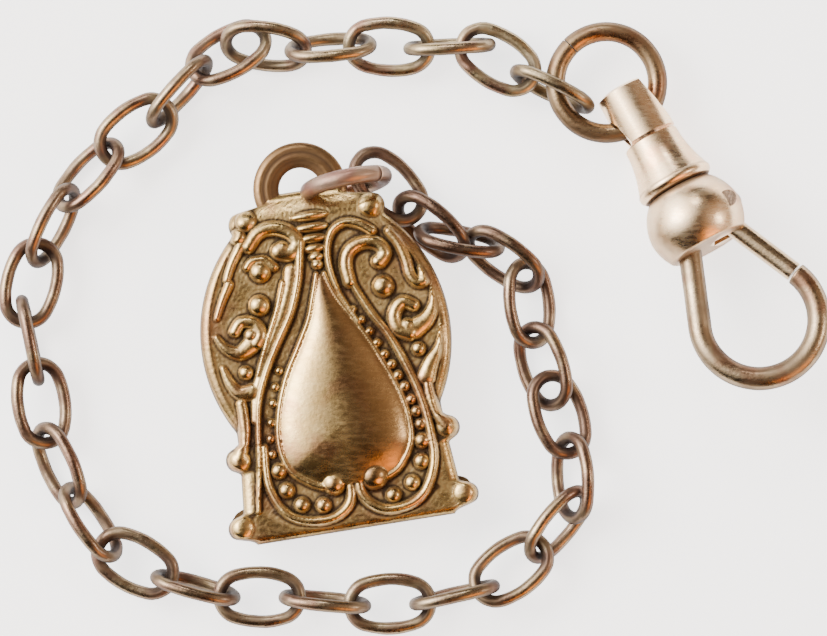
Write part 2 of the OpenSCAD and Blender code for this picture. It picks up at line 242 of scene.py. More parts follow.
# %% Aged gold recipe
RUB_SIZE = 1500
RUB_ROUGHER = 0.12
DIRT_AND_SHADE_ROUGHER = 0.30
DIRT_AND_SHADE_METALLIC = 0.25
GRAIN_DEPTH = 0.05 * MM


def aged_gold(name, gold, second_gold, stain, patina_and_shade, shine, grain=0.12, stain_from=0.50,
              grain_size=GRAIN_SIZE):
    """Old gold-filled metal. shine is the roughness of the rubbed places."""
    material = bpy.data.materials.new(name)
    material.use_nodes = True
    tree = material.node_tree
    shader = tree.nodes["Principled BSDF"]
    coords = tree.nodes.new("ShaderNodeTexCoord").outputs["Object"]
    soft = clouds(tree, coords, CLOUD_SIZE, 0.38, 0.62)
    blot = clouds(tree, coords, CLOUD_SIZE * 0.6, stain_from, stain_from + 0.14)
    fine = clouds(tree, coords, grain_size, 0.30, 0.70, detail=6.0)
    rubbed = clouds(tree, coords, RUB_SIZE, 0.35, 0.75, stretch=(1.0, 3.0, 1.0))
    dirt_and_shade = attribute(tree, "dirt_and_shade")
    brown = attribute(tree, "brown")
    colour = mix_colours(tree, soft, gold, second_gold)
    colour = mix_colours(tree, blot, colour, stain)
    tarnish_and_reflection = tuple(0.45 * a + 0.55 * b for a, b in zip(stain, patina_and_shade))
    colour = mix_colours(tree, brown, colour, tarnish_and_reflection)
    colour = mix_colours(tree, dirt_and_shade, colour, patina_and_shade)
    tree.links.new(colour, shader.inputs["Base Color"])
    metal = tree.nodes.new("ShaderNodeMapRange")
    metal.inputs["To Min"].default_value = 1.0
    metal.inputs["To Max"].default_value = DIRT_AND_SHADE_METALLIC
    tree.links.new(dirt_and_shade, metal.inputs["Value"])
    tree.links.new(metal.outputs["Result"], shader.inputs["Metallic"])
    shader.inputs["Specular IOR Level"].default_value = 0.15
    rough = tree.nodes.new("ShaderNodeMath")
    rough.operation = "MULTIPLY_ADD"
    tree.links.new(rubbed, rough.inputs[0])
    rough.inputs[1].default_value = RUB_ROUGHER
    rough.inputs[2].default_value = shine
    rougher = tree.nodes.new("ShaderNodeMath")
    rougher.operation = "MULTIPLY_ADD"
    rougher.use_clamp = True
    tree.links.new(dirt_and_shade, rougher.inputs[0])
    rougher.inputs[1].default_value = DIRT_AND_SHADE_ROUGHER
    tree.links.new(rough.outputs[0], rougher.inputs[2])
    tree.links.new(rougher.outputs[0], shader.inputs["Roughness"])
    bump = tree.nodes.new("ShaderNodeBump")
    bump.inputs["Strength"].default_value = grain
    bump.inputs["Distance"].default_value = GRAIN_DEPTH
    tree.links.new(fine, bump.inputs["Height"])
    tree.links.new(bump.outputs["Normal"], shader.inputs["Normal"])
    return material


print("recipe ready")

# %% Eight metals
link_metal = aged_gold(
    "link_metal", (0.66, 0.53, 0.34), (0.54, 0.42, 0.23), (0.44, 0.26, 0.18),
    (0.020, 0.011, 0.010), 0.22)
ring_metal = aged_gold(
    "rosy_ring_metal", (0.76, 0.54, 0.40), (0.68, 0.46, 0.31), (0.56, 0.30, 0.23),
    (0.035, 0.016, 0.013), 0.20)
swivel_ring_metal = aged_gold(
    "swivel_ring_metal", (0.48, 0.34, 0.19), (0.38, 0.25, 0.14), (0.38, 0.19, 0.10),
    (0.024, 0.012, 0.009), 0.22)
clasp_metal = aged_gold(
    "clasp_metal", (0.93, 0.70, 0.45), (0.87, 0.60, 0.35), (0.80, 0.46, 0.26),
    (0.060, 0.022, 0.008), 0.23, grain=0.04, stain_from=0.54)
hook_metal = aged_gold(
    "hook_metal", (0.54, 0.41, 0.26), (0.42, 0.30, 0.18), (0.36, 0.20, 0.12),
    (0.028, 0.016, 0.012), 0.22)
stamped_metal = aged_gold(
    "stamped_metal", (0.78, 0.55, 0.24), (0.66, 0.44, 0.17), (0.56, 0.32, 0.15),
    (0.024, 0.011, 0.007), 0.22, grain=0.10, grain_size=3600)
shell_metal = aged_gold(
    "shell_metal", (0.44, 0.33, 0.21), (0.36, 0.26, 0.16), (0.34, 0.20, 0.14),
    (0.045, 0.028, 0.024), 0.30, grain=0.20)
steel = aged_gold(
    "bare_steel", (0.42, 0.42, 0.43), (0.34, 0.33, 0.34), (0.28, 0.22, 0.19),
    (0.04, 0.035, 0.035), 0.32)
print("eight metals")

# %% [markdown]
# ## Finishing a part
# Each new part is built in its own flat measures, in millimetres. It is then stored at the
# origin with its place in its mesh, rides the right body and hides the CAD node it stands for.

# %% Finishing a part
SHARP_EDGE = math.radians(42)


def store(bm, name, place, metal, body, stands_for, dirt_and_shade, brown=0.0, side_shade=0.0):
    """Turns a millimetre bmesh into a finished piece in its place.

    The darkening values say how dark each point is, from dirt and painted shade, and the brown values
    how brown, from tarnish and on the clip's panel a painted reflection. The side shade amount paints
    shade where the surface faces sideways or down, less where it faces the window on the left.
    """
    bmesh.ops.recalc_face_normals(bm, faces=bm.faces[:])
    bmesh.ops.transform(bm, matrix=place @ Matrix.Scale(MM, 4), verts=bm.verts[:])
    bm.normal_update()
    tilt = np.array([vert.normal.z for vert in bm.verts])
    left = np.array([vert.normal.y * 0.35 - vert.normal.x for vert in bm.verts])
    data = bpy.data.meshes.new(name)
    bm.to_mesh(data)
    bm.free()
    data.polygons.foreach_set("use_smooth", [True] * len(data.polygons))
    data.set_sharp_from_angle(angle=SHARP_EDGE)
    # Painted shade: darker where the surface faces sideways or down, less on the side facing the
    # window.
    painted_side_shade = side_shade * np.clip((0.78 - tilt) / 0.55, 0, 1) * (1 - 0.45 * np.clip(left, 0, 1))
    dirt_and_side_shade = 1 - (1 - np.clip(np.array(dirt_and_shade, dtype=float), 0, 0.95)) * (1 - painted_side_shade)
    tarnish_and_reflection = np.broadcast_to(np.array(brown, dtype=float), tilt.shape)
    for label, values in (("dirt_and_shade", dirt_and_side_shade), ("brown", tarnish_and_reflection)):
        stored = data.attributes.new(label, "FLOAT", "POINT")
        stored.data.foreach_set("value", [float(v) for v in values])
    data.materials.append(metal)
    piece = bpy.data.objects.new(name, data)
    bpy.context.collection.objects.link(piece)
    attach(piece, body)
    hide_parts(*stands_for)
    return piece


print("finishing helper ready")

# %% [markdown]
# Bent wire is a round section spun about the middle of each bend. A slot is sawn by taking a
# closed box away from the finished part.

# %% Wire and saw
def wire_end(bm, place, radius, sides=18):
    """The first round section of a wire, looking along the matrix's z."""
    made = bmesh.ops.create_circle(bm, cap_ends=False, segments=sides, radius=radius, matrix=place)
    ring = made["verts"]
    return ring + list(dict.fromkeys(edge for vert in ring for edge in vert.link_edges))


def sweep(bm, section, middle, degrees, steps):
    """Spins a wire's open end about a middle, and gives back its new end."""
    spun = bmesh.ops.spin(bm, geom=section, cent=middle, axis=(0, 0, 1), dvec=(0, 0, 0),
                          angle=math.radians(degrees), steps=steps,
                          use_merge=False, use_duplicate=False)
    return spun["geom_last"]


def tangent(radius, degrees, middle=(0, 0)):
    """Where a wire's section stands on a circle, facing anticlockwise."""
    turn = math.radians(degrees)
    spot = Vector((middle[0] + radius * math.cos(turn), middle[1] + radius * math.sin(turn), 0))
    upright = Matrix.Rotation(math.radians(-90), 4, "X")
    return Matrix.Translation(spot) @ Matrix.Rotation(turn, 4, "Z") @ upright


def cut_away(piece, bm, place):
    """Cuts a closed shape out of a piece, and keeps the result as the piece's mesh."""
    bmesh.ops.transform(bm, matrix=place @ Matrix.Scale(MM, 4), verts=bm.verts[:])
    data = bpy.data.meshes.new("cutter")
    bm.to_mesh(data)
    bm.free()
    cutter = bpy.data.objects.new("cutter", data)
    bpy.context.collection.objects.link(cutter)
    change = piece.modifiers.new("slot", "BOOLEAN")
    change.operation, change.solver, change.object = "DIFFERENCE", "EXACT", cutter
    view = bpy.context.evaluated_depsgraph_get()
    result = bpy.data.meshes.new_from_object(piece.evaluated_get(view),
                                             preserve_all_data_layers=True, depsgraph=view)
    piece.modifiers.clear()
    piece.data = result
    bpy.data.objects.remove(cutter)
    print(piece.name, "cut, now", len(result.polygons), "faces")


print("wire and saw helpers ready")

# %% [markdown]
# ## The links
# A link is a true oval: two tight bends at the ends and two long, gently bowed sides, each
# part of a circle. Four spins of one round section make it. The sides are never quite even,
# and close to one end the brazed joint shows as file marks. Each link lies where its CAD
# solid lies, which is read from the solid's own longest and shortest directions.

# %% Where a link lies
def lie_of(node):
    """The matrix from an oval's own measures to where its CAD solid lies."""
    data = nodes[node].data
    points = np.empty(len(data.vertices) * 3)
    data.vertices.foreach_get("co", points)
    points = points.reshape(-1, 3)
    data.calc_loop_triangles()
    corners = np.empty(len(data.loop_triangles) * 3, dtype=np.int32)
    data.loop_triangles.foreach_get("vertices", corners)
    triangles = points[corners.reshape(-1, 3)]
    sides = triangles[:, 1:] - triangles[:, :1]
    areas = np.linalg.norm(np.cross(sides[:, 0], sides[:, 1]), axis=1)
    centres = triangles.mean(axis=1)
    middle = (centres * areas[:, None]).sum(axis=0) / areas.sum()
    spread = centres - middle
    _, axes = np.linalg.eigh((spread * areas[:, None]).T @ spread)
    along, normal = Vector(axes[:, 2]), Vector(axes[:, 0])
    if normal.z < 0:
        normal.negate()
    across = normal.cross(along)
    turned = Matrix((along, across, normal)).transposed().to_4x4()
    return Matrix.Translation(Vector(middle)) @ turned


print("link 1 lies at", [round(v / MM, 2) for v in lie_of("link_01").translation])

# %% One oval link
WIRE = 0.42
UNDERSIZE = 0.016
HALF_LENGTH = 2.58
HALF_WIDTH = 1.58
END_BEND = 1.40
end_middle = HALF_LENGTH - END_BEND
side_bend = (end_middle**2 + HALF_WIDTH**2 - END_BEND**2) / (2 * (HALF_WIDTH - END_BEND))
side_middle = side_bend - HALF_WIDTH
meeting = math.degrees(math.atan2(side_middle, end_middle))
FILE_MARKS = (2.02, 1.80, 1.60)
MARK_DEPTH, MARK_WIDTH = 0.045, 0.07


def oval_link(bm, seed, marked):
    """Four spins, then the small unevenness of a hand-closed link."""
    end = wire_end(bm, tangent(END_BEND, -meeting, (end_middle, 0)), WIRE)
    end = sweep(bm, end, (end_middle, 0, 0), 2 * meeting, 22)
    end = sweep(bm, end, (0, -side_middle, 0), 180 - 2 * meeting, 14)
    end = sweep(bm, end, (-end_middle, 0, 0), 2 * meeting, 22)
    sweep(bm, end, (0, side_middle, 0), 180 - 2 * meeting, 14)
    bmesh.ops.remove_doubles(bm, verts=bm.verts[:], dist=0.001)
    bmesh.ops.recalc_face_normals(bm, faces=bm.faces[:])
    bm.normal_update()
    # Each link is darker underneath, towards both ends where it meets its neighbours, and on its inner
    # side: painted shade under and between the links, with cloudy dirt on the inner side.
    dirt_and_shade, tarnish_and_reflection = [], []
    for vert in bm.verts:
        at = vert.co.copy()
        uneven = (0.030 * noise.noise(at * 0.9 + Vector((seed, 0, 0)))
                  + 0.012 * noise.noise(at * 4 + Vector((0, seed, 0))))
        cut = 0.0
        if marked and at.x > 0 and at.z > 0 and abs(at.y) > 0.5:
            cut = MARK_DEPTH * max(math.exp(-((at.x - mark) / MARK_WIDTH) ** 2)
                                   for mark in FILE_MARKS)
        vert.co += vert.normal * (uneven - UNDERSIZE - cut)
        end_reach = min(1.0, max(0.0, (abs(at.x) - 1.35) / 0.75))
        inner = 1.0 if vert.normal.to_2d().dot(at.to_2d()) < 0 else 0.0
        under = min(1.0, max(0.0, -at.z / WIRE))
        cloud = 0.5 + 0.5 * noise.noise(at * 1.3 + Vector((seed, seed, 0)))
        dirt_and_shade.append(min(0.92, 0.66 * end_reach * (0.35 + 0.65 * inner) + 0.25 * under
                          + 0.40 * inner * cloud))
        tarnish_and_reflection.append(0.45 + 1.1 * cloud)
    return np.array(dirt_and_shade), np.array(tarnish_and_reflection)


print("a link's sides bend at", round(side_bend, 2), "mm, its ends at", END_BEND, "mm")

# %% [markdown]
# No two links have aged alike: those by the clip and in the middle of the run are browner,
# the last ones have been polished by use. This list says how brown each one is.

# %% All the links
BROWN = [0.85, 1.00, 1.00, 0.85, 0.80, 0.86, 0.80, 0.78, 0.62, 0.60, 0.58,
         0.52, 0.55, 0.62, 0.70, 0.68, 0.66, 0.74, 0.80, 0.80, 0.78, 0.72,
         0.62, 0.55, 0.58, 0.45, 0.48, 0.40, 0.18, 0.30, 0.10, 0.30]
MARKED = {9, 13, 15, 17, 19, 22, 29, 31}
for number, brown in enumerate(BROWN, start=1):
    name = f"link_{number:02d}"
    bm = bmesh.new()
    dirt_and_shade, tarnish_and_reflection = oval_link(bm, 7.3 * number, number in MARKED)
    store(bm, "oval_" + name, lie_of(name), link_metal, name, [name], dirt_and_shade,
          np.clip(brown * tarnish_and_reflection, 0, 0.95), side_shade=0.94)
print(len(BROWN), "links")

# %% [markdown]
# ## The two rings
# Both are bent from round wire and closed without solder, so a fine cut shows where the
# ends meet. The small one on the clip stands on its edge. The large one lies flat.

# %% Rings
def open_ring(bm, radius, wire, cut_at, cut):
    """A wire ring with a fine cut, and how dark each point is."""
    end = wire_end(bm, tangent(radius, cut_at + cut), wire, sides=24)
    first = list(bm.faces[:]) + [item for item in end if isinstance(item, bmesh.types.BMEdge)]
    last = sweep(bm, end, (0, 0, 0), 360 - 2 * cut, 90)
    last_edges = [item for item in last if isinstance(item, bmesh.types.BMEdge)]
    bmesh.ops.holes_fill(bm, edges=first + last_edges, sides=0)
    bm.normal_update()
    # The inner face is darker: painted shade inside the ring, with cloudy dirt over it.
    dark = []
    for vert in bm.verts:
        at = vert.co.copy()
        vert.co += vert.normal * 0.012 * noise.noise(at * 1.1)
        inner = max(0.0, -vert.normal.to_2d().dot(at.to_2d().normalized()))
        dark.append(min(0.8, 0.45 * inner + 0.3 * max(0.0, noise.noise(at * 0.8))))
    return dark


def turned_place(at, turn, roll=0.0):
    """A place on the table, turned about z, then rolled about its own length."""
    return (Matrix.Translation(Vector(at) * MM) @ Matrix.Rotation(math.radians(turn), 4, "Z")
            @ Matrix.Rotation(math.radians(roll), 4, "X"))


JUMP_RING_AT = (-4.13, 8.95, 2.98658)
JUMP_RING_RADIUS, JUMP_RING_WIRE = 2.45, 0.55
SWIVEL_RING_AT = (12.5838, 15.5334, 2.09264)
SWIVEL_RING_RADIUS, SWIVEL_RING_WIRE = 3.275, 0.625
bm = bmesh.new()
dark = open_ring(bm, JUMP_RING_RADIUS, JUMP_RING_WIRE, 40, 1.2)
store(bm, "bent_jump_ring", turned_place(JUMP_RING_AT, 12, 84), ring_metal, "jump_ring",
      ["clip_jump_ring"], dark, 0.08, side_shade=0.80)
bm = bmesh.new()
dark = open_ring(bm, SWIVEL_RING_RADIUS, SWIVEL_RING_WIRE, 135, 0.6)
store(bm, "bent_swivel_ring", turned_place(SWIVEL_RING_AT, 0), swivel_ring_metal,
      "swivel_ring", ["swivel_ring"], dark, 0.25, side_shade=0.90)
print("two rings")

# %% [markdown]
# ## The swivel clasp
# The barrel and the collar are turned parts, so each is a profile spun about the clasp's
# long axis. The barrel flares to a lip with a fine burr. The collar is shaped like an acorn,
# and a slot is sawn in its hook side, where the gate's eye sits and turns.

# %% Clasp place
CLASP_AT = (14.6447, 13.2445, 2.09264)
clasp_place = turned_place(CLASP_AT, -62) @ Matrix.Rotation(math.radians(-8.23475), 4, "Y")


def turned_part(bm, profile, steps=72):
    """Spins a profile of (along, radius) points about the x axis."""
    line = [bm.verts.new((along, radius, 0)) for along, radius in profile]
    edges = [bm.edges.new(pair) for pair in zip(line, line[1:])]
    bmesh.ops.spin(bm, geom=line + edges, cent=(0, 0, 0), axis=(1, 0, 0), dvec=(0, 0, 0),
                   angle=2 * math.pi, steps=steps, use_merge=True, use_duplicate=False)
    bmesh.ops.remove_doubles(bm, verts=bm.verts[:], dist=0.0005)


def smooth_profile(points, steps=5):
    """More points on a profile, on a curve through the given ones."""
    ends = [points[0], *points, points[-1]]
    fine = []
    for a, b, c, d in zip(ends, ends[1:], ends[2:], ends[3:]):
        for step in range(steps):
            t = step / steps
            fine.append(tuple(
                0.5 * (2 * q + (r - p) * t + (2 * p - 5 * q + 4 * r - s) * t**2
                       + (3 * q - p - 3 * r + s) * t**3)
                for p, q, r, s in zip(a, b, c, d)))
    return fine + [points[-1]]


print("clasp starts at", CLASP_AT, "mm")

# %% Barrel
LIP_AT = 4.66
BARREL_FOOT = 5.2
bm = bmesh.new()
turned_part(bm, [(1.62, 0.66), (1.60, 1.60), (1.60, 1.76), (1.66, 1.825)]
            + smooth_profile([(1.75, 1.83), (2.6, 1.90), (3.5, 2.08), (4.3, 2.33), (4.62, 2.44)])
            + smooth_profile([(4.70, 2.50), (4.90, 2.52), (5.08, 2.44), (5.24, 2.28)], 3)
            + [(5.30, 2.20), (5.30, 1.42), (2.38, 1.42), (2.38, 0.66), (1.62, 0.66)])
# The lip's burr holds dirt. The foot, where the barrel meets the collar, is darkened as painted shade.
dark = []
for vert in bm.verts:
    at = vert.co
    lip = math.exp(-((at.x - LIP_AT) / 0.07) ** 2)
    burr = 0.03 * lip * noise.noise(Vector((0, at.y, at.z)) * 5)
    vert.co += Vector((0, at.y, at.z)).normalized() * burr
    dark.append(min(0.9, 0.75 * lip * (0.4 + max(0.0, noise.noise(at * 4)))
                    + (0.8 if at.x > BARREL_FOOT else 0.0)))
store(bm, "turned_barrel", clasp_place, clasp_metal, "clasp_body", ["swivel_barrel"],
      dark, side_shade=0.22)
print("barrel turned")

# %% Collar and its slot
NECK_AT = 5.46
SAW_CUTS = ((9.1, 0.56), (10.6, 0.71))
bm = bmesh.new()
turned_part(bm, [(4.32, 0.0), (4.32, 1.33), (5.40, 1.35), (5.40, 2.16)]
            + smooth_profile([(5.44, 2.20), (5.78, 2.52), (6.30, 2.84), (6.95, 3.09), (7.60, 3.20),
                              (8.20, 3.16), (8.75, 3.00), (9.15, 2.82), (9.40, 2.68)])
            + [(9.49, 2.55), (9.50, 2.40), (9.50, 0.0)])
# The neck, where the collar meets the barrel, is darkened as painted shade.
dark = [0.85 * math.exp(-((vert.co.x - NECK_AT) / 0.16) ** 2) for vert in bm.verts]
collar = store(bm, "acorn_collar", clasp_place, clasp_metal, "clasp_body", ["clasp_collar"],
               dark, side_shade=0.62)
for along, half_height in SAW_CUTS:
    bm = bmesh.new()
    at = Matrix.Translation((along, 2.85, 0)) @ Matrix.Diagonal((5, 5, 2 * half_height, 1))
    bmesh.ops.create_cube(bm, size=1, matrix=at)
    cut_away(collar, bm, clasp_place)
print("collar turned and sawn")

# %% [markdown]
# The hook is one wire that leaves the collar, runs straight and bends back in a wide bow
# that stops where the gate's tip meets it. Its open end is cut square and eased.

# %% Hook
HOOK_MIDDLE = (15.2, 0.5, 0)
HOOK_BEND = 3.8
HOOK_WIRE = 0.75
ARM_STEP, ARM_STEPS = 0.5, 12
BOW_DEGREES = 225
hook_place = (clasp_place @ Matrix.Translation(Vector(HOOK_MIDDLE) * MM)
              @ Matrix.Rotation(math.radians(-21), 4, "Z"))
arm_foot = (Matrix.Translation((-ARM_STEP * ARM_STEPS, -HOOK_BEND, 0))
            @ Matrix.Rotation(math.radians(90), 4, "Y"))
bm = bmesh.new()
end = wire_end(bm, arm_foot, HOOK_WIRE, 28)
first_edges = [item for item in end if isinstance(item, bmesh.types.BMEdge)]
ring_edges = first_edges
for _ in range(ARM_STEPS):
    grown = bmesh.ops.extrude_edge_only(bm, edges=ring_edges)["geom"]
    ring_verts = [item for item in grown if isinstance(item, bmesh.types.BMVert)]
    bmesh.ops.translate(bm, vec=(ARM_STEP, 0, 0), verts=ring_verts)
    ring_edges = [item for item in grown if isinstance(item, bmesh.types.BMEdge)
                  and all(vert in ring_verts for vert in item.verts)]
last = sweep(bm, ring_verts + ring_edges, (0, 0, 0), BOW_DEGREES, 84)
last_edges = [item for item in last if isinstance(item, bmesh.types.BMEdge)]
bmesh.ops.holes_fill(bm, edges=first_edges + last_edges, sides=0)
bmesh.ops.bevel(bm, geom=last_edges, offset=0.12, offset_type="OFFSET", segments=3, profile=0.5,
                affect="EDGES", material=-1, clamp_overlap=True)
bm.normal_update()
# The inner face of the bow is darker, as painted shade, with cloudy dirt over it.
dark = []
for vert in bm.verts:
    at = vert.co.copy()
    vert.co += vert.normal * 0.015 * noise.noise(at * 0.7)
    inner = max(0.0, -vert.normal.to_2d().dot(at.to_2d().normalized()))
    dark.append(min(0.85, 0.40 * inner + 0.5 * max(0.0, noise.noise(at * 0.6))))
store(bm, "bent_hook", hook_place, hook_metal, "clasp_body", ["clasp_hook"],
      dark, 0.10, side_shade=0.88)
print("hook bent")

# %% [markdown]
# The head, the pins, the gate, the lever and the springs are right as they are in the CAD
# frame: plain turned, cut or bent shapes. They keep their own meshes and only get a metal.

# %% Metals for the CAD parts
CAD_METALS = {"swivel_head": clasp_metal, "swivel_pin": steel, "clasp_gate": hook_metal,
              "gate_rivet": ring_metal, "gate_spring": steel, "clip_spring_lever": shell_metal,
              "clip_hinge_pin": steel, "clip_lever_spring": steel}
for node, metal in CAD_METALS.items():
    for slot in nodes[node].material_slots:
        slot.material = metal
print(len(CAD_METALS), "CAD parts have their metals")

# %% [markdown]
# ## The pocket clip
# The clip's front is stamped in relief from thin sheet. It is modelled the way a die is cut:
# start from a fine grid in the clip's outline, raise the long S-shaped bands, the teardrop
# panel, the beads and scrolls one by one, then turn the edge down and close the back.

# %% Clip measures
CLIP_PLACE = turned_place((-3.48, -13.07, 0), 9)
GROUND = 3.55
CLIP_TOP = 21.9
FLANK_MIDDLE, FLANK_BEND, FLANK_OFFSET = 12.4, 10.05, 2.05
TOP_CURL, TOP_CURL_R = (4.1, 20.25), 0.95
SIDE_CURL, SIDE_CURL_R = (6.75, 5.5), 0.8
CORNER, CORNER_R = (7.3, 1.15), 0.77
NECK_FROM = 20.3


def bulge(y, spot, radius):
    """How far a round lobe reaches out at height y, or nothing."""
    inside = np.clip(radius**2 - (y - spot[1]) ** 2, 0, None)
    return np.where(inside > 0, spot[0] + np.sqrt(inside), 0.0)


def sharp_half_width(y):
    """Half the clip's width at each height y, with every lobe a true circle."""
    flank = np.sqrt(np.clip(FLANK_BEND**2 - (y - FLANK_MIDDLE) ** 2, 0, None)) - FLANK_OFFSET
    waist = np.where(y < 8, np.interp(y, [0, 0.6, 5.5, 8], [6.3, 7.1, 6.62, 6.55]), 0.0)
    top_curl = bulge(y, TOP_CURL, TOP_CURL_R)
    width = np.maximum.reduce([flank, waist, top_curl, bulge(y, SIDE_CURL, SIDE_CURL_R),
                               bulge(y, CORNER, CORNER_R)])
    neck = 2.55 + 2.2 * np.clip((CLIP_TOP - y) / (CLIP_TOP - NECK_FROM), 0, 1) ** 2.2
    return np.where(y > NECK_FROM, np.maximum(top_curl, neck), width)


print("clip is", CLIP_TOP, "mm high without its loop")

# %% [markdown]
# Sheet metal can't turn a corner of no radius. Where two lobes of the outline meet in a sharp
# step, it is averaged over about half a millimetre, as a worn die would leave it.

# %% Soft outline
SOFT_SPAN = 19
outline_up = np.linspace(0, CLIP_TOP, 700)
soften = np.hanning(SOFT_SPAN) / np.hanning(SOFT_SPAN).sum()
outline_out = np.convolve(np.pad(sharp_half_width(outline_up), SOFT_SPAN // 2, mode="edge"),
                          soften, mode="valid")


def half_width(y):
    """The clip's outline: half its width, with soft steps between its lobes."""
    return np.interp(y, outline_up, outline_out)


print("widest", round(2 * outline_out.max(), 2), "mm")

# %% [markdown]
# A relief is the highest of many simple forms: rounded ridges that follow a line and round
# beads. Each form is worked out as a height over the whole grid at once.

# %% Relief tools
def curve(points, steps=6):
    """A smooth line through given points."""
    return np.array(smooth_profile(points, steps))


def nearest(x, y, line):
    """Distance to a line of points, and how far along it the nearest spot is, 0 to 1."""
    best = np.full(x.shape, 1e9)
    where = np.zeros(x.shape)
    last = len(line) - 1
    for step, (a, b) in enumerate(zip(line, line[1:])):
        run = b - a
        t = np.clip(((x - a[0]) * run[0] + (y - a[1]) * run[1]) / max(run @ run, 1e-9), 0, 1)
        gap = np.hypot(x - a[0] - t * run[0], y - a[1] - t * run[1])
        closer = gap < best
        best = np.where(closer, gap, best)
        where = np.where(closer, (step + t) / last, where)
    return best, where


def ridge(x, y, points, wide, high, wide_end):
    """A rounded ridge along a line. It may get thinner or thicker towards its end."""
    gap, where = nearest(x, y, curve(points))
    reach = wide + (wide_end - wide) * where
    section = np.sqrt(np.clip(1 - (gap / reach) ** 2, 0, 1))
    return high * section * (0.6 + 0.4 * reach / max(wide, reach.max()))


def bead(x, y, spot, radius, high):
    """A round bead."""
    away = (x - spot[0]) ** 2 + (y - spot[1]) ** 2
    return high * np.sqrt(np.clip(1 - away / radius**2, 0, 1))


def ease(value, low, high):
    """0 below low, 1 above high, smooth between."""
    t = np.clip((value - low) / (high - low), 0, 1)
    return t * t * (3 - 2 * t)


print("relief tools ready")

# %% The relief's lines
PANEL_LEFT = [(0.0, 16.4), (-0.45, 15.0), (-0.95, 13.6), (-1.85, 12.0), (-2.95, 10.1),
              (-3.75, 7.9), (-4.0, 6.0), (-3.6, 4.35), (-2.5, 3.35), (-1.7, 2.95)]
PANEL_RIGHT = [(0.5, 16.4), (0.85, 15.2), (1.45, 14.0), (2.55, 12.0), (3.5, 9.8), (4.2, 7.75),
               (4.4, 5.95), (4.2, 4.75), (3.35, 3.5), (2.5, 3.0)]
BAND_RIGHT = [(3.9, 18.6), (3.25, 19.1), (2.3, 19.4), (1.4, 18.95), (0.95, 17.9), (0.9, 16.6),
              (1.2, 15.2), (1.62, 14.2), (2.2, 13.0)]
OUTER_RIGHT = [(1.9, 16.4), (2.3, 15.2), (3.1, 13.4), (4.0, 11.8), (4.85, 9.5), (5.4, 7.4),
               (5.6, 5.4), (5.55, 3.6), (4.9, 2.0), (3.85, 1.1), (2.2, 0.9), (1.1, 1.5),
               (0.6, 2.5), (0.9, 3.8), (1.9, 4.2)]
OUTER_LEFT = [(-0.75, 18.6), (-0.95, 17.4), (-1.25, 16.1), (-2.0, 14.2), (-3.2, 12.3),
              (-4.15, 10.65), (-4.85, 9.0), (-5.2, 7.2), (-5.5, 4.9), (-5.8, 3.2), (-6.0, 2.0)]
BAND_LEFT = [(-1.5, 16.8), (-1.9, 15.6), (-2.6, 14.1), (-3.6, 12.4), (-4.45, 10.7), (-5.0, 9.2),
             (-5.3, 7.8)]
INNER_LEFT = [(-2.2, 16.2), (-2.9, 14.4), (-3.9, 12.4), (-4.7, 10.6)]
LOW_LEFT = [(-5.0, 6.0), (-5.1, 3.6), (-4.3, 1.7), (-2.9, 0.95), (-1.2, 0.95), (-0.1, 1.8),
            (-0.05, 3.3), (-1.0, 4.1), (-1.9, 3.7)]
RIGHT_BEADS = [(1.95, 13.85), (2.4, 13.1), (2.8, 12.3), (3.15, 11.5), (3.5, 10.7), (3.85, 10.0),
               (4.15, 9.25), (4.45, 8.5), (4.72, 7.6), (4.92, 6.8), (5.05, 5.95)]
BIG_BEADS = [(5.0, 4.9), (4.75, 3.6), (3.95, 2.35), (2.65, 1.75), (-4.3, 4.4), (-4.0, 3.1),
             (-3.2, 2.05), (-1.85, 1.8)]
LEFT_BEADS = [(-3.3, 10.7), (-3.7, 9.7), (-4.0, 8.7), (-4.3, 7.5), (-4.5, 6.5), (-4.55, 5.5)]
RIBS = [(20.15, 1.25), (19.4, 1.15), (18.7, 0.95), (18.05, 0.75), (17.5, 0.55), (17.0, 0.42)]
